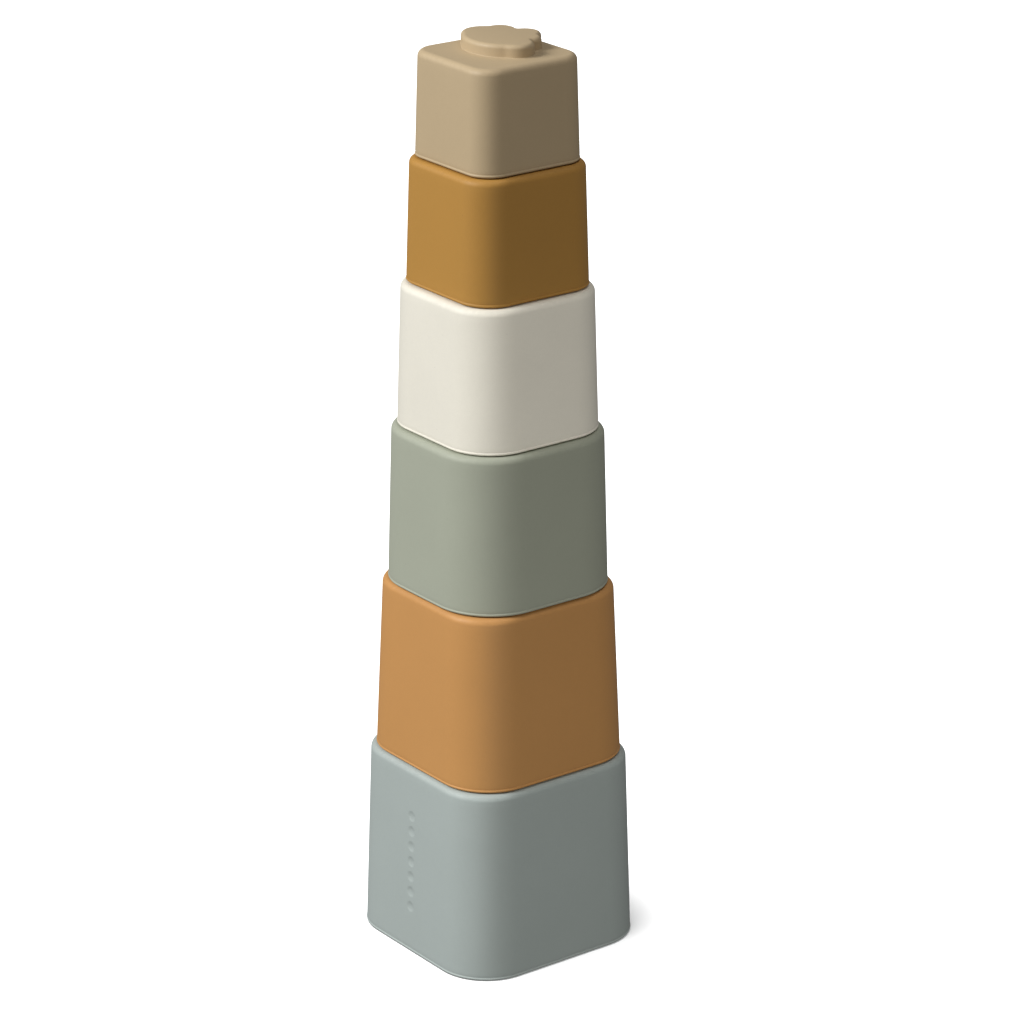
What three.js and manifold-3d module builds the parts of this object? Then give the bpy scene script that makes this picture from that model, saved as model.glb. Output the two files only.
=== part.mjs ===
// A tower of six square silicone stacking cups, largest at the bottom, each standing rim down
// on the flat top of the one below. Millimetres, +Z up. The origin is the centre of the base
// cup's rim, where the tower rests. Every cup is a single moulding with its own node.

import * as THREE from 'three';
import { mergeVertices } from 'three/addons/utils/BufferGeometryUtils.js';
import Module from 'manifold-3d';

const wasm = await Module();
wasm.setup();

// Each cup: side of its square rim, side of its square top, height of its body, and the
// radius of its four upright corners.
const cups = [
  { name: 'base_cup', rim: 90.0, top: 85.5, height: 79.5, corner: 21.6, colour: 0x9fa9a7 },
  { name: 'second_cup', rim: 82.9, top: 77.5, height: 72.2, corner: 21.6, colour: 0xc28e57 },
  { name: 'third_cup', rim: 76.9, top: 73.7, height: 64.6, corner: 24.8, colour: 0xa1a693 },
  { name: 'fourth_cup', rim: 68.1, top: 65.0, height: 57.9, corner: 19.8, colour: 0xe2ddd0 },
  { name: 'fifth_cup', rim: 58.8, top: 56.2, height: 49.6, corner: 13.6, colour: 0xb5873f },
  { name: 'top_cup', rim: 51.4, top: 49.3, height: 41.7, corner: 10.3, colour: 0xb8a480 },
];

const wall = 2.0; // side walls and top panel alike
const lipReach = 0.15; // how far the bead round the rim stands out of the wall
const lipHeight = 0.8;
const topEdge = 2.6; // rounding where the walls turn into the top
const topEdgeSteps = 3;
const restingGap = 0.3; // clearance between a rim and the top it stands on
const cornerSteps = 6; // straight facets in each rounded corner

// The raised shape on top of every cup: a puffy outline of six overlapping round lobes, each
// with its centre and its reach along X and Y. They are drawn for the top cup. On the others
// they grow with the rim of the cup that stands over them, which keeps them clear of its inside.
const motifHeight = 5.0;
const motifEdge = 1.8; // rounding of its upper edge
const motifEdgeSteps = 2;
const motifRoot = 1.9; // how deep it starts in the top panel, which hides its lower edge
const motifSteps = 60; // points round its outline
const motifBlend = 28; // lobes run softly into each other; a higher number makes sharper clefts
const motifDrawnFor = 51.4;
const motifCentre = new THREE.Vector2(4.5, 2.0);
const motifLobes = [
  { x: 1.7, y: 2.6, reachX: 12.0, reachY: 15.7 },
  { x: 2.5, y: -9.3, reachX: 6.7, reachY: 6.6 },
  { x: 2.7, y: 13.4, reachX: 8.1, reachY: 7.9 },
  { x: 10.5, y: 11.8, reachX: 6.2, reachY: 6.6 },
  { x: 13.7, y: 2.0, reachX: 7.3, reachY: 6.6 },
  { x: 11.6, y: -4.6, reachX: 4.9, reachY: 4.9 },
];

function toSolid(geometry) {
  const bare = geometry.clone();
  bare.deleteAttribute('normal');
  bare.deleteAttribute('uv');
  const merged = mergeVertices(bare, 1e-4);
  return new wasm.Manifold(new wasm.Mesh({
    numProp: 3,
    vertProperties: new Float32Array(merged.attributes.position.array),
    triVerts: new Uint32Array(merged.index.array),
  }));
}

function toGeometry(solid) {
  const mesh = solid.getMesh();
  const geometry = new THREE.BufferGeometry();
  geometry.setAttribute('position', new THREE.BufferAttribute(mesh.vertProperties, 3));
  geometry.setIndex(new THREE.BufferAttribute(mesh.triVerts, 1));
  geometry.computeVertexNormals();
  return geometry;
}

// A square with round corners, centred on the axis.
function squareOutline(side, corner) {
  const inner = side / 2 - corner;
  const shape = new THREE.Shape();
  const quarter = Math.PI / 2;
  shape.absarc(inner, inner, corner, 0, quarter);
  shape.absarc(-inner, inner, corner, quarter, 2 * quarter);
  shape.absarc(-inner, -inner, corner, 2 * quarter, 3 * quarter);
  shape.absarc(inner, -inner, corner, 3 * quarter, 4 * quarter);
  return shape;
}

// An upright block between two heights whose ends are rounded off by `edge`.
function block(shape, bottom, top, edge, edgeSteps) {
  const geometry = new THREE.ExtrudeGeometry(shape, {
    depth: top - bottom - 2 * edge,
    steps: 1,
    curveSegments: cornerSteps,
    bevelEnabled: edge > 0,
    bevelThickness: edge,
    bevelSize: edge,
    bevelOffset: -edge,
    bevelSegments: edgeSteps,
  });
  return geometry.translate(0, 0, bottom + edge);
}

// Draws a block in towards its top, so that it leaves its mould.
function draft(geometry, cup) {
  const narrowing = (1 - cup.top / cup.rim) / cup.height;
  const position = geometry.attributes.position;
  for (let i = 0; i < position.count; i += 1) {
    const scale = 1 - narrowing * position.getZ(i);
    position.setXY(i, position.getX(i) * scale, position.getY(i) * scale);
  }
  return geometry;
}

// How far a ray from the motif's centre runs before it leaves a lobe: the far root of the
// quadratic for a line through an ellipse, or 0 where it misses. `inset` shrinks the lobe.
function rayLeavesLobe(ray, lobe, scale, inset) {
  const reach = new THREE.Vector2(lobe.reachX, lobe.reachY).multiplyScalar(scale).subScalar(inset);
  const start = new THREE.Vector2(lobe.x, lobe.y).negate().add(motifCentre);
  start.multiplyScalar(scale).divide(reach);
  const step = ray.clone().divide(reach);
  const half = start.dot(step);
  const root = half ** 2 - step.lengthSq() * (start.lengthSq() - 1);
  return root > 0 ? (Math.sqrt(root) - half) / step.lengthSq() : 0;
}

// The outer edge of the overlapping lobes: a soft maximum of how far a ray runs in each. An
// inset outline gives the hollow under the motif.
function motifOutline(scale, inset) {
  const points = [];
  for (let step = 0; step < motifSteps; step += 1) {
    const angle = (2 * Math.PI * step) / motifSteps;
    const ray = new THREE.Vector2(Math.cos(angle), Math.sin(angle));
    const reaches = motifLobes.map((lobe) => rayLeavesLobe(ray, lobe, scale, inset));
    const blended = reaches.reduce((sum, reach) => sum + reach ** motifBlend, 0);
    ray.multiplyScalar(blended ** (1 / motifBlend));
    points.push(ray.addScaledVector(motifCentre, scale));
  }
  return new THREE.Shape(points);
}

// One cup, rim down at z = 0. Its blocks start under the rim, and everything there is cut off.
function cupSolid(cup, motifSize) {
  const cutDepth = 3 * topEdge;
  const wallSide = cup.rim - 2 * lipReach;
  const body = block(
    squareOutline(wallSide, cup.corner),
    -cutDepth,
    cup.height,
    topEdge,
    topEdgeSteps,
  );
  const lip = block(squareOutline(cup.rim, cup.corner + lipReach), -cutDepth, lipHeight, 0, 0);
  const hollow = block(
    squareOutline(wallSide - 2 * wall, cup.corner - wall),
    -cutDepth,
    cup.height - wall,
    topEdge - wall,
    1,
  );
  const motif = block(
    motifOutline(motifSize, 0),
    cup.height - motifRoot,
    cup.height + motifHeight,
    motifEdge,
    motifEdgeSteps,
  );
  const recess = block(
    motifOutline(motifSize, wall),
    cup.height - 2 * wall,
    cup.height + motifHeight - wall,
    0,
    0,
  );
  const offcut = new THREE.BoxGeometry(2 * cup.rim, 2 * cup.rim, 2 * cutDepth);
  return toSolid(draft(body, cup))
    .add(toSolid(lip))
    .subtract(toSolid(offcut.translate(0, 0, -cutDepth)))
    .subtract(toSolid(draft(hollow, cup)))
    .add(toSolid(motif))
    .subtract(toSolid(recess));
}

const tower = new THREE.Group();
let standing = 0;
cups.forEach((cup, index) => {
  const above = cups[index + 1] ?? cup;
  const silicone = new THREE.MeshStandardMaterial({
    color: cup.colour,
    roughness: 0.7,
    metalness: 0,
  });
  const mesh = new THREE.Mesh(toGeometry(cupSolid(cup, above.rim / motifDrawnFor)), silicone);
  mesh.name = cup.name;
  mesh.position.z = standing;
  tower.add(mesh);
  standing += cup.height + restingGap;
});

export default tower;
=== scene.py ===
import math

import bmesh
import bpy
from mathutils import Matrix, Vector


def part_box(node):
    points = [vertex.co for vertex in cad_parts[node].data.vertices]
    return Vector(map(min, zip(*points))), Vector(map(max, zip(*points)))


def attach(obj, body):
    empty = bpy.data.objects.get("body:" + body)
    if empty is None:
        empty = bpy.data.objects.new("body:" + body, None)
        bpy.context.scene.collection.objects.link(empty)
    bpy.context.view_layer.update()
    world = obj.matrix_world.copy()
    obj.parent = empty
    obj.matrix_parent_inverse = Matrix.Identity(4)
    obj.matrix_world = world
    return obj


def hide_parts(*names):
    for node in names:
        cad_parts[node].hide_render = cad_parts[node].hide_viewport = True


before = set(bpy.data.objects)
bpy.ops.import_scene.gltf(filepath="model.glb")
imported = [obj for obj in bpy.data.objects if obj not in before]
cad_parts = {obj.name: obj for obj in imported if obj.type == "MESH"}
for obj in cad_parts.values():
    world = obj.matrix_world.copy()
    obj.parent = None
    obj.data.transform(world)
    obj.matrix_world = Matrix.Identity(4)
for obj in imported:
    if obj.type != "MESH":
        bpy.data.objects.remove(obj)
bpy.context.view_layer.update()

# The base cup, the largest of six. Each is one hollow moulding of matte silicone with walls
# 2 mm thick: square with round upright corners, open at its rim, drawn in a little towards its
# closed top, which carries a raised puffy shape that is hollow from below. Sizes in metres.
WALL = 0.0020
SHOULDER = 0.0026  # rounding where the walls turn into the top
SHOULDER_STEPS = 8
INNER_SHOULDER = 0.0010
CORNER_STEPS = 20
FLAT_CUTS = 11  # extra upright edges across each flat wall
ROW_PITCH = 0.0030
LID_BORDER = 0.00015  # a narrow flat margin inside the shoulder
NEAR = 1e-6  # closer than this counts as touching
CUT_SNAP = 1e-7

MOTIF_HEIGHT = 0.0050
MOTIF_EDGE = 0.0018
MOTIF_FOOT = 0.0004  # fillet where the raised shape meets the lid
MOTIF_POINTS = 240
MOTIF_STEPS = 7
MOTIF_BLEND = 28  # the lobes run softly into each other; higher makes sharper clefts
MOTIF_DRAWN_FOR = 0.0514  # the top cup's rim; the shape grows with the rim of the cup above it
MOTIF_CENTRE = Vector((0.0045, 0.0020))
MOTIF_LOBES = [  # centre, reach along X and Y
    (Vector((0.0017, 0.0026)), Vector((0.0120, 0.0157))),
    (Vector((0.0025, -0.0093)), Vector((0.0067, 0.0066))),
    (Vector((0.0027, 0.0134)), Vector((0.0081, 0.0079))),
    (Vector((0.0105, 0.0118)), Vector((0.0062, 0.0066))),
    (Vector((0.0137, 0.0020)), Vector((0.0073, 0.0066))),
    (Vector((0.0116, -0.0046)), Vector((0.0049, 0.0049))),
]

# The rim: how far the wall stands out at heights above it. A faint hollow runs round above a
# fine bead, which turns in well underneath.
RIM_START = 0.0021  # the drafted wall ends here, and the rim's own profile begins
RIM_REACH = 0.00015
RIM_PROFILE = [
    (0.00175, -0.00005), (0.00150, -0.00010), (0.00135, -0.00010), (0.00120, -0.00001),
    (0.00108, 0.00008), (0.00096, 0.00013), (0.00084, 0.00015), (0.00068, 0.00011),
    (0.00052, 0.00001), (0.00036, -0.00015), (0.00020, -0.00036), (0.00007, -0.00058),
    (0.0, -0.00078),
]


def lobe_reach(ray, centre, reach):
    """How far a ray from the motif's centre runs before it leaves one lobe."""
    start = MOTIF_CENTRE - centre
    start = Vector((start.x / reach.x, start.y / reach.y))
    step = Vector((ray.x / reach.x, ray.y / reach.y))
    half = start.dot(step)
    root = half ** 2 - step.length_squared * (start.length_squared - 1)
    return (math.sqrt(root) - half) / step.length_squared if root > 0 else 0.0


def motif_outline(size):
    """Points round the foot of the raised shape, and the way outward at each."""
    points = []
    for index in range(MOTIF_POINTS):
        angle = 2 * math.pi * index / MOTIF_POINTS
        ray = Vector((math.cos(angle), math.sin(angle)))
        blend = sum(lobe_reach(ray, *lobe) ** MOTIF_BLEND for lobe in MOTIF_LOBES)
        points.append((MOTIF_CENTRE + ray * blend ** (1 / MOTIF_BLEND)) * size)
    outward = []
    for index in range(MOTIF_POINTS):
        along = points[(index + 1) % MOTIF_POINTS] - points[index - 1]
        outward.append(Vector((along.y, -along.x)).normalized())
    return points, outward


def extrude_loop(bm, edges):
    """Extrudes a loop of edges in place, and gives back the new loop and its vertices."""
    grown = bmesh.ops.extrude_edge_only(bm, edges=edges)["geom"]
    new_edges = [part for part in grown if isinstance(part, bmesh.types.BMEdge)]
    new_verts = [part for part in grown if isinstance(part, bmesh.types.BMVert)]
    return new_edges, new_verts


def raise_motif(bm, lid_edges, lid, size, inset, edge, foot):
    """Fills the lid up to the motif, raises the motif's wall and closes its top."""
    points, outward = motif_outline(size)
    place = bm.verts.layers.int.new("place")
    ring = bmesh.ops.create_circle(bm, segments=MOTIF_POINTS, radius=size)["verts"]
    for vert in ring:
        turn = math.atan2(vert.co.y, vert.co.x) / (2 * math.pi)
        vert[place] = round(turn * MOTIF_POINTS) % MOTIF_POINTS
    profile = [(foot, 0.0)]
    for step in range(1, MOTIF_STEPS + 1):
        turn = math.pi / 2 * step / MOTIF_STEPS
        profile.append((foot * (1 - math.sin(turn)), foot * (1 - math.cos(turn))))
    for step in range(MOTIF_STEPS + 1):
        turn = math.pi / 2 * step / MOTIF_STEPS
        profile.append((edge * (math.cos(turn) - 1), MOTIF_HEIGHT + edge * (math.sin(turn) - 1)))
    edges = list({e for vert in ring for e in vert.link_edges})
    for reach, height in profile:
        if height > 0:
            edges, ring = extrude_loop(bm, edges)
        for vert in ring:
            vert.co.xy = points[vert[place]] + outward[vert[place]] * (reach - inset)
            vert.co.z = lid + height
        if height == 0:
            rings = lid_edges + edges
            bmesh.ops.triangle_fill(bm, edges=rings, use_beauty=True, normal=(0, 0, 1))
    bmesh.ops.triangle_fill(bm, edges=edges, use_beauty=True, normal=(0, 0, 1))
    bm.verts.layers.int.remove(place)


def mould_skin(side, top_side, height, corner, shoulder, motif):
    """One face of a cup, outer or inner: drafted walls and a lid with its motif, open below."""
    bm = bmesh.new()
    bmesh.ops.create_cube(bm, size=1.0)
    bmesh.ops.scale(bm, vec=(side, side, height), verts=bm.verts)
    bmesh.ops.translate(bm, vec=(0, 0, height / 2), verts=bm.verts)
    uprights = [e for e in bm.edges if (e.verts[0].co - e.verts[1].co).xy.length < NEAR]
    bmesh.ops.bevel(
        bm, geom=uprights, offset=corner, offset_type='OFFSET', segments=CORNER_STEPS,
        profile=0.5, affect='EDGES', material=-1,
    )
    flat = side - 2 * corner
    level = [e for e in bm.edges if abs(e.verts[0].co.z - e.verts[1].co.z) < NEAR]
    flat_ends = [e for e in level if e.calc_length() > 0.9 * flat]
    bmesh.ops.subdivide_edges(bm, edges=flat_ends, cuts=FLAT_CUTS)
    narrowing = (1 - top_side / side) / height
    for vert in bm.verts:
        vert.co.xy *= 1 - narrowing * vert.co.z
    rows = round((height - shoulder) / ROW_PITCH)
    for row in range(1, rows):
        bmesh.ops.bisect_plane(
            bm, geom=bm.verts[:] + bm.edges[:] + bm.faces[:], dist=CUT_SNAP,
            plane_co=(0, 0, (height - shoulder) * row / rows), plane_no=(0, 0, 1),
        )
    ends = [f for f in bm.faces if len(f.verts) > 4 * FLAT_CUTS]
    bottom = min(ends, key=lambda f: f.calc_center_median().z)
    bmesh.ops.delete(bm, geom=[bottom], context='FACES_ONLY')
    lid_rim = [e for e in bm.edges if all(v.co.z > height - CUT_SNAP for v in e.verts)]
    bmesh.ops.bevel(
        bm, geom=lid_rim, offset=shoulder, offset_type='OFFSET', segments=SHOULDER_STEPS,
        profile=0.5, affect='EDGES', material=-1,
    )
    lid = max(bm.faces, key=lambda f: len(f.verts))
    bmesh.ops.inset_region(bm, faces=[lid], thickness=LID_BORDER, use_even_offset=True)
    border = list(lid.edges)
    bmesh.ops.delete(bm, geom=[lid], context='FACES_ONLY')
    raise_motif(bm, border, height, *motif)
    return bm


def shape_rim(bm, hub, narrowing):
    """Cuts the walls off just above the rim and carries them down over its bead."""
    bmesh.ops.bisect_plane(
        bm, geom=bm.verts[:] + bm.edges[:] + bm.faces[:], dist=CUT_SNAP, clear_inner=True,
        plane_co=(0, 0, RIM_START), plane_no=(0, 0, 1),
    )
    edges = [e for e in bm.edges if len(e.link_faces) == 1]
    stem = bm.verts.layers.float_vector.new("stem")
    for vert in {v for e in edges for v in e.verts}:
        vert[stem] = vert.co
    for height, reach in RIM_PROFILE:
        edges, ring = extrude_loop(bm, edges)
        widening = (1 - narrowing * height) / (1 - narrowing * RIM_START)
        for vert in ring:
            across = vert[stem].xy
            heart = Vector([max(-hub, min(hub, value)) for value in across])
            vert.co.xy = across * widening + (across - heart).normalized() * reach
            vert.co.z = height
    bm.verts.layers.float_vector.remove(stem)


def mould_cup(node, under, top_side, corner):
    """A whole cup, standing where its CAD node stands. The cup named by under sits on it."""
    low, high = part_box(node)
    above_low, above_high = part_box(under)
    size = (above_high.x - above_low.x) / MOTIF_DRAWN_FOR
    rim = high.x - low.x
    height = high.z - low.z - MOTIF_HEIGHT
    side = rim - 2 * RIM_REACH
    draft = top_side / rim
    bm = mould_skin(
        side, side * draft, height, corner, SHOULDER, (size, 0.0, MOTIF_EDGE, MOTIF_FOOT),
    )
    shape_rim(bm, side / 2 - corner, (1 - draft) / height)
    inside = mould_skin(
        side - 2 * WALL, (side - 2 * WALL) * draft, height - WALL, corner - WALL,
        INNER_SHOULDER, (size, WALL, INNER_SHOULDER, MOTIF_FOOT),
    )
    lining = bpy.data.meshes.new("lining")
    inside.to_mesh(lining)
    inside.free()
    bm.from_mesh(lining)
    bpy.data.meshes.remove(lining)
    mouths = [e for e in bm.edges if len(e.link_faces) == 1]
    bmesh.ops.triangle_fill(bm, edges=mouths, use_beauty=True, normal=(0, 0, -1))
    bmesh.ops.remove_doubles(bm, verts=bm.verts, dist=NEAR)
    bmesh.ops.recalc_face_normals(bm, faces=bm.faces)
    bmesh.ops.translate(bm, vec=(0, 0, low.z), verts=bm.verts)
    return bm


def place_cup(bm, node):
    """Turns a finished cup into an object of its own."""
    for face in bm.faces:
        face.smooth = True
    mesh = bpy.data.meshes.new(node + "_moulding")
    bm.to_mesh(mesh)
    bm.free()
    moulding = bpy.data.objects.new(node + "_moulding", mesh)
    bpy.context.scene.collection.objects.link(moulding)
    return moulding


class Signal:
    """A value that varies over the surface. Sums and products of it add Math nodes."""

    def __init__(self, finish, socket):
        self.finish = finish
        self.socket = socket

    def maths(self, operation, first, second):
        return self.finish.node("ShaderNodeMath", {"operation": operation}, {0: first, 1: second})

    def __add__(self, other):
        return self.maths('ADD', self, other)

    def __sub__(self, other):
        return self.maths('SUBTRACT', self, other)

    def __mul__(self, other):
        return self.maths('MULTIPLY', self, other)

    def __radd__(self, other):
        return self.maths('ADD', other, self)

    def __rsub__(self, other):
        return self.maths('SUBTRACT', other, self)

    def __rmul__(self, other):
        return self.maths('MULTIPLY', other, self)


class Finish:
    """The surface of one piece, built up from nodes."""

    def __init__(self, name):
        self.material = bpy.data.materials.new(name)
        self.material.use_nodes = True
        self.tree = self.material.node_tree
        self.shader = self.tree.nodes["Principled BSDF"]

    def feed(self, socket, value):
        if isinstance(value, Signal):
            self.tree.links.new(value.socket, socket)
        else:
            socket.default_value = value

    def node(self, kind, settings, sockets, output=0):
        made = self.tree.nodes.new(kind)
        for setting, value in settings.items():
            setattr(made, setting, value)
        for socket, value in sockets.items():
            self.feed(made.inputs[socket], value)
        return Signal(self, made.outputs[output])

    def noise(self, place, scale, detail):
        return self.node(
            "ShaderNodeTexNoise", {}, {"Vector": place, "Scale": scale, "Detail": detail},
        )

    def ramp(self, value, start, end):
        """Rises smoothly from 0 at start to 1 at end."""
        return self.node(
            "ShaderNodeMapRange", {"interpolation_type": 'SMOOTHSTEP'},
            {"Value": value, "From Min": start, "From Max": end},
        )


def tint(pigment, strength):
    return (*[min(1.0, channel * strength) for channel in pigment], 1.0)


# The finish of the silicone. Scales are features per metre, and heights are in metres.
CLOUD_SCALE = 38.0
PORE_SCALE = 520.0
GRAIN_SCALE = 1900.0
LINT_SCALE = 130.0
LINT_EDGE = (0.016, 0.034)
# The paler bands at the rims, shoulders and motif edge are partly rubbed by handling and partly
# painted highlight where the rounded edges catch the light.
RIM_WEAR_AND_HIGHLIGHT = (0.0004, 0.0022)  # above the rim: full rubbing and painted highlight, then none
SHOULDER_WEAR_AND_HIGHLIGHT = (-0.0031, -0.0012, -0.0007, -0.0001)  # from the lid: starts, full, fades, ends
MOTIF_WEAR_AND_HIGHLIGHT = (-MOTIF_EDGE, -0.0008, -0.0005, -0.0001)  # the same, from the top of the motif
WEAR_AND_HIGHLIGHT_PATCHES = (0.7, 1.25)
DEEP_TINT = 0.93
PALE_TINT = 1.07
LINT_TINT = 0.6
LINT_STRENGTH = 0.3
CLOUD_RELIEF = 0.00010
PORE_RELIEF = 0.000022
GRAIN_RELIEF = 0.000010
LINT_RELIEF = 0.00004
MATTE = 0.60  # roughness of unworn silicone
SHEEN_LEVEL = 0.38


def worn_and_highlit_band(finish, height, edge, band_offsets):
    """A level band below an edge, painted paler partly for rubbing and partly as painted
    highlight: it comes in, is full, fades and ends.
    """
    starts, full, fades, ends = [edge + offset for offset in band_offsets]
    return finish.ramp(height, starts, full) * (1 - finish.ramp(height, fades, ends))


def silicone(moulding, node, name, pigment, drift):
    """Matte pigmented silicone: faint clouding, a fine eroded grain from the mould, lint, and
    edges that handling has rubbed smoother and paler, the paleness partly from that rubbing and
    partly painted highlight along the rounded edges."""
    finish = Finish(name)
    low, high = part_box(node)
    lid = high.z - MOTIF_HEIGHT
    centred = (drift, -drift, -low.z)
    raw = finish.node("ShaderNodeTexCoord", {}, {}, "Object")
    place = finish.node("ShaderNodeMapping", {}, {"Vector": raw, "Location": centred})
    height = finish.node("ShaderNodeSeparateXYZ", {}, {0: raw}, "Z")
    clouds = finish.noise(place, CLOUD_SCALE, 3.0)
    grain = finish.noise(place, GRAIN_SCALE, 2.0)
    pores = finish.noise(place, PORE_SCALE, 2.0)
    lint_cell = finish.node("ShaderNodeTexVoronoi", {}, {"Vector": place, "Scale": LINT_SCALE})
    lint = 1 - finish.ramp(lint_cell, *LINT_EDGE)
    rim_band = 1 - finish.ramp(height, low.z + RIM_WEAR_AND_HIGHLIGHT[0], low.z + RIM_WEAR_AND_HIGHLIGHT[1])
    shoulder_band = worn_and_highlit_band(finish, height, lid, SHOULDER_WEAR_AND_HIGHLIGHT)
    motif_band = worn_and_highlit_band(finish, height, high.z, MOTIF_WEAR_AND_HIGHLIGHT)
    # Paler edges at the rims, shoulders and motif: partly rubbed by handling, partly painted
    # highlight.
    worn_and_highlit = (rim_band + shoulder_band + motif_band) * finish.ramp(pores + clouds, *WEAR_AND_HIGHLIGHT_PATCHES)
    depth = 0.5 + (clouds - 0.5) * 0.5 + (grain - 0.5) * 0.35 + (pores - 0.5) * 0.25 + worn_and_highlit * 0.35
    colour = finish.node(
        "ShaderNodeMix", {"data_type": 'RGBA'},
        {"Factor": depth, 6: tint(pigment, DEEP_TINT), 7: tint(pigment, PALE_TINT)}, 2,
    )
    colour = finish.node(
        "ShaderNodeMix", {"data_type": 'RGBA'},
        {"Factor": lint * LINT_STRENGTH, 6: colour, 7: tint(pigment, LINT_TINT)}, 2,
    )
    relief = clouds * CLOUD_RELIEF + pores * PORE_RELIEF
    relief = relief + grain * GRAIN_RELIEF + lint * LINT_RELIEF
    bump = finish.node("ShaderNodeBump", {}, {"Height": relief, "Strength": 1.0, "Distance": 1.0})
    roughness = MATTE + (pores - 0.5) * 0.12 - worn_and_highlit * 0.10
    finish.feed(finish.shader.inputs["Base Color"], colour)
    finish.feed(finish.shader.inputs["Roughness"], roughness)
    finish.feed(finish.shader.inputs["Normal"], bump)
    finish.feed(finish.shader.inputs["Specular IOR Level"], SHEEN_LEVEL)
    moulding.data.materials.append(finish.material)


# Seven small round dimples are pressed into the base cup's left wall in an upright row.
DIMPLES = 7
DIMPLE_PITCH = 0.0066
DIMPLE_ROW_CENTRE = 0.0395
DIMPLE_RADIUS = 0.0022
DIMPLE_DEPTH = 0.00042
DIMPLE_CUTS = 11
DIMPLE_FULLNESS = 0.8  # below 1 gives a flatter floor with steeper sides
FACING_LEFT = -0.99  # the outer left wall's faces point this far along X, or further

base = mould_cup("base_cup", "second_cup", top_side=0.0855, corner=0.0216)
half_row = (DIMPLES - 1) / 2 * DIMPLE_PITCH + DIMPLE_RADIUS + ROW_PITCH
fine = []
for face in base.faces:
    middle = face.calc_center_median()
    beside_row = abs(middle.z - DIMPLE_ROW_CENTRE) < half_row
    if face.normal.x < FACING_LEFT and abs(middle.y) < 2 * DIMPLE_RADIUS and beside_row:
        fine.append(face)
bmesh.ops.subdivide_edges(
    base, edges=list({e for f in fine for e in f.edges}), cuts=DIMPLE_CUTS, use_grid_fill=True,
)
for vert in base.verts:
    on_wall = all(f.normal.x < FACING_LEFT for f in vert.link_faces)
    if on_wall and abs(vert.co.y) < DIMPLE_RADIUS:
        step = round((vert.co.z - DIMPLE_ROW_CENTRE) / DIMPLE_PITCH)
        step = max(-(DIMPLES // 2), min(DIMPLES // 2, step))
        centre = Vector((0, DIMPLE_ROW_CENTRE + step * DIMPLE_PITCH))
        share = (vert.co.yz - centre).length / DIMPLE_RADIUS
        if share < 1:
            vert.co.x += DIMPLE_DEPTH * math.cos(share * math.pi / 2) ** DIMPLE_FULLNESS
base_moulding = place_cup(base, "base_cup")
silicone(base_moulding, "base_cup", "mist_blue_silicone", (0.428, 0.484, 0.466), 0.00)
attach(base_moulding, "base_cup")
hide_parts("base_cup")

# The second cup: the same moulding a size smaller, in apricot. Its rim rests on the base cup's
# lid, loose, over the raised shape.
second_moulding = place_cup(
    mould_cup("second_cup", "third_cup", top_side=0.0775, corner=0.0216), "second_cup",
)
silicone(second_moulding, "second_cup", "apricot_silicone", (0.596, 0.300, 0.098), 0.13)
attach(second_moulding, "second_cup")
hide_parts("second_cup")

# The third cup: one moulding in sage silicone. Its upright corners are the roundest of the
# set. It stands loose on the second cup's lid.
third_moulding = place_cup(
    mould_cup("third_cup", "fourth_cup", top_side=0.0737, corner=0.0248), "third_cup",
)
silicone(third_moulding, "third_cup", "sage_silicone", (0.398, 0.422, 0.338), 0.29)
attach(third_moulding, "third_cup")
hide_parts("third_cup")

# The fourth cup: one moulding in cream silicone, the palest of the set. It stands loose on
# the third cup's lid.
fourth_moulding = place_cup(
    mould_cup("fourth_cup", "fifth_cup", top_side=0.0650, corner=0.0198), "fourth_cup",
)
silicone(fourth_moulding, "fourth_cup", "cream_silicone", (0.79, 0.76, 0.665), 0.41)
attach(fourth_moulding, "fourth_cup")
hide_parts("fourth_cup")

# The fifth cup: one moulding in mustard silicone, with tighter corners than the larger cups.
# It stands loose on the fourth cup's lid.
fifth_moulding = place_cup(
    mould_cup("fifth_cup", "top_cup", top_side=0.0562, corner=0.0136), "fifth_cup",
)
silicone(fifth_moulding, "fifth_cup", "mustard_silicone", (0.458, 0.237, 0.049), 0.57)
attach(fifth_moulding, "fifth_cup")
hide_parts("fifth_cup")

# The top cup, the smallest: one moulding in sand silicone. Nothing stands on it, so its raised
# shape is in view.
top_moulding = place_cup(
    mould_cup("top_cup", "top_cup", top_side=0.0493, corner=0.0103), "top_cup",
)
silicone(top_moulding, "top_cup", "sand_silicone", (0.492, 0.380, 0.233), 0.73)
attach(top_moulding, "top_cup")
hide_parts("top_cup")

# The studio floor: plain white paper. It glows faintly, which lifts the shadow beside the base,
# and it's kept out of the light that falls on the cups.
FLOOR_REACH = 30.0
PAPER_WHITE = 0.9
PAPER_GLOW = 0.20
floor_mesh = bpy.data.meshes.new("studio_floor")
bm = bmesh.new()
bmesh.ops.create_grid(bm, x_segments=1, y_segments=1, size=FLOOR_REACH)
bm.to_mesh(floor_mesh)
bm.free()
floor = bpy.data.objects.new("studio_floor", floor_mesh)
bpy.context.scene.collection.objects.link(floor)
paper = Finish("floor_paper")
paper.feed(paper.shader.inputs["Base Color"], (PAPER_WHITE, PAPER_WHITE, PAPER_WHITE, 1))
paper.feed(paper.shader.inputs["Roughness"], 0.9)
paper.feed(paper.shader.inputs["Specular IOR Level"], 0.0)
paper.feed(paper.shader.inputs["Emission Color"], (1, 1, 1, 1))
paper.feed(paper.shader.inputs["Emission Strength"], PAPER_GLOW)
floor_mesh.materials.append(paper.material)
floor.visible_diffuse = False
floor.visible_glossy = False

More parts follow.
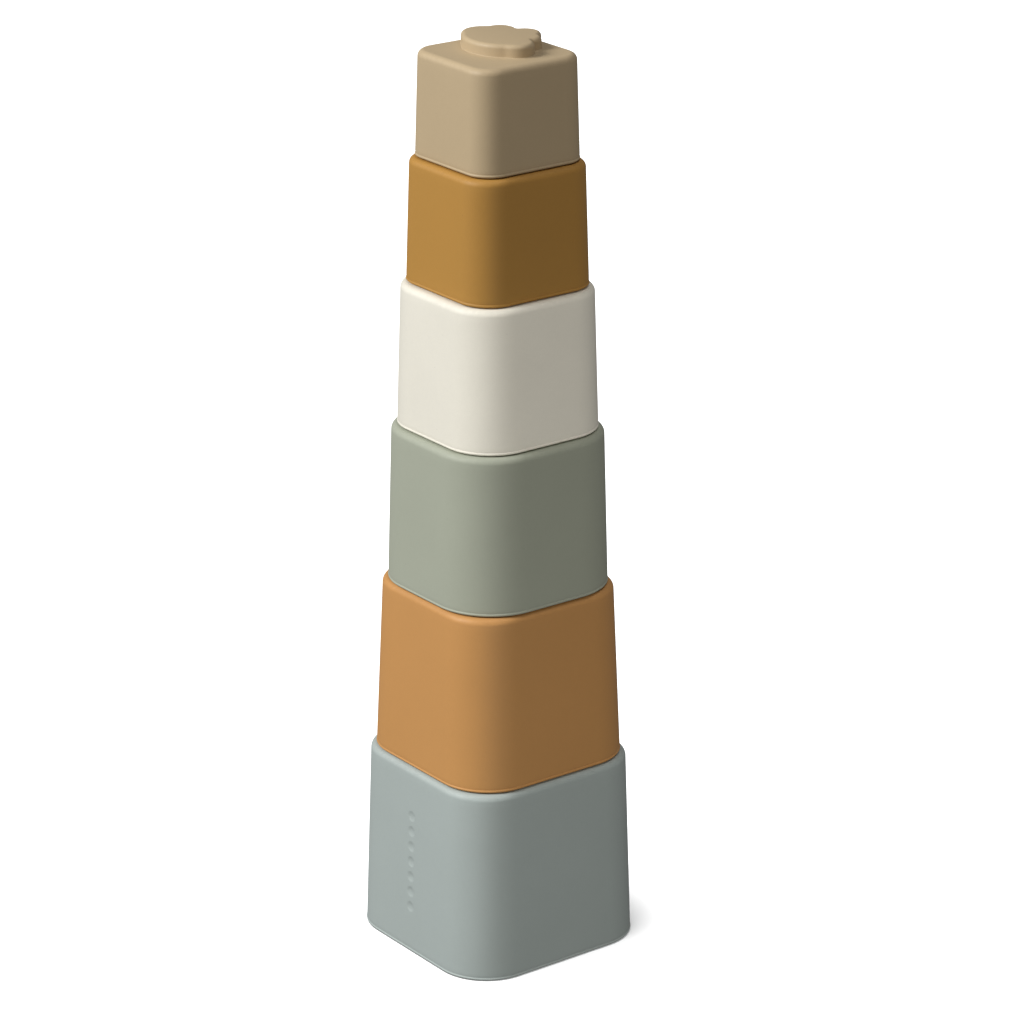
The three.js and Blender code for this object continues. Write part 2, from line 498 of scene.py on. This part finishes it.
# The lamps on the cups, all soft discs: a large one on the left, a broad weak one beside the
# camera, one overhead for the shoulders, and a low card in front that lifts the base. A last
# one keeps the shaded side of the cream cup pale. Azimuth runs from +X towards +Y, in degrees.
cups = bpy.data.collections.new("cups")
for moulding in (base_moulding, second_moulding, third_moulding, fourth_moulding,
                 fifth_moulding, top_moulding):
    cups.objects.link(moulding)
cream_only = bpy.data.collections.new("cream_only")
cream_only.objects.link(fourth_moulding)
LAMPS = [  # name, azimuth, elevation, distance, height aimed at, width, watts, colour, lights
    ("key", 160, 37, 2.2, 0.19, 1.1, 46.8, (1.0, 1.0, 1.0), cups),
    ("front_fill", -112, 12, 2.4, 0.19, 1.2, 3.9, (1.0, 0.84, 0.66), cups),
    ("overhead", -75, 76, 2.2, 0.19, 1.1, 9.5, (1.0, 0.99, 0.97), cups),
    ("low_card", -116, 6, 0.35, 0.03, 0.28, 0.20, (0.96, 1.0, 1.0), cups),
    ("cream_card", -116, 8, 1.2, 0.246, 0.5, 1.7, (1.0, 0.98, 0.92), cream_only),
]
for name, azimuth, elevation, distance, aim, width, watts, colour, lit in LAMPS:
    lamp = bpy.data.lights.new(name, 'AREA')
    lamp.shape = 'DISK'
    lamp.size = width
    lamp.energy = watts
    lamp.color = colour
    turn = math.radians(azimuth)
    tilt = math.radians(elevation)
    level = Vector((math.cos(turn), math.sin(turn), 0)) * math.cos(tilt)
    towards = level + Vector((0, 0, math.sin(tilt)))
    stand = bpy.data.objects.new(name, lamp)
    stand.location = Vector((0, 0, aim)) + towards * distance
    stand.rotation_euler = (-towards).to_track_quat('-Z', 'Y').to_euler()
    stand.visible_camera = False
    stand.light_linking.receiver_collection = lit
    bpy.context.scene.collection.objects.link(stand)

# A wide even light from high on the left washes the floor out to white. Only the base cup
# shades it, so that the shadow stays a short soft one.
WASH_STRENGTH = 4.6
WASH_SOFTNESS = math.radians(34)
WASH_DIRECTION = Vector((0.23, -0.05, -1))
paper_only = bpy.data.collections.new("paper_only")
paper_only.objects.link(floor)
base_only = bpy.data.collections.new("base_only")
base_only.objects.link(base_moulding)
wash_lamp = bpy.data.lights.new("floor_wash", 'SUN')
wash_lamp.energy = WASH_STRENGTH
wash_lamp.angle = WASH_SOFTNESS
wash = bpy.data.objects.new("floor_wash", wash_lamp)
wash.rotation_euler = WASH_DIRECTION.to_track_quat('-Z', 'Y').to_euler()
wash.light_linking.receiver_collection = paper_only
wash.light_linking.blocker_collection = base_only
bpy.context.scene.collection.objects.link(wash)

# The surround: white to look at, but only a dim even light on the cups.
SURROUND_LIGHT = 0.17
SURROUND_SEEN = 1.0
world = bpy.data.worlds.new("surround")
world.use_nodes = True
surround = world.node_tree
sky = surround.nodes["Background"]
sky.inputs["Color"].default_value = (1, 1, 1, 1)
rays = surround.nodes.new("ShaderNodeLightPath")
strength = surround.nodes.new("ShaderNodeMapRange")
strength.inputs["To Min"].default_value = SURROUND_LIGHT
strength.inputs["To Max"].default_value = SURROUND_SEEN
surround.links.new(rays.outputs["Is Camera Ray"], strength.inputs["Value"])
surround.links.new(strength.outputs["Result"], sky.inputs["Strength"])
bpy.context.scene.world = world
bpy.context.scene.view_settings.view_transform = 'Standard'

# The camera: a long lens in front on the left, looking down on the tower.
CAMERA_YAW = math.radians(36.84)
CAMERA_PITCH = math.radians(20.53)
CAMERA_DISTANCE = 1.6027
CAMERA_LENS = 142.26
AIM_ACROSS = 0.00563
AIM_HEIGHT = 0.17982
across = Vector((math.cos(CAMERA_YAW), -math.sin(CAMERA_YAW), 0))
ahead = Vector((math.sin(CAMERA_YAW), math.cos(CAMERA_YAW), 0)) * math.cos(CAMERA_PITCH)
ahead -= Vector((0, 0, math.sin(CAMERA_PITCH)))
lens = bpy.data.cameras.new("camera")
lens.lens = CAMERA_LENS
lens.sensor_width = 36
camera = bpy.data.objects.new("camera", lens)
camera.location = across * AIM_ACROSS + Vector((0, 0, AIM_HEIGHT)) - ahead * CAMERA_DISTANCE
camera.rotation_euler = (math.pi / 2 - CAMERA_PITCH, 0, -CAMERA_YAW)
bpy.context.scene.collection.objects.link(camera)
bpy.context.scene.camera = camera
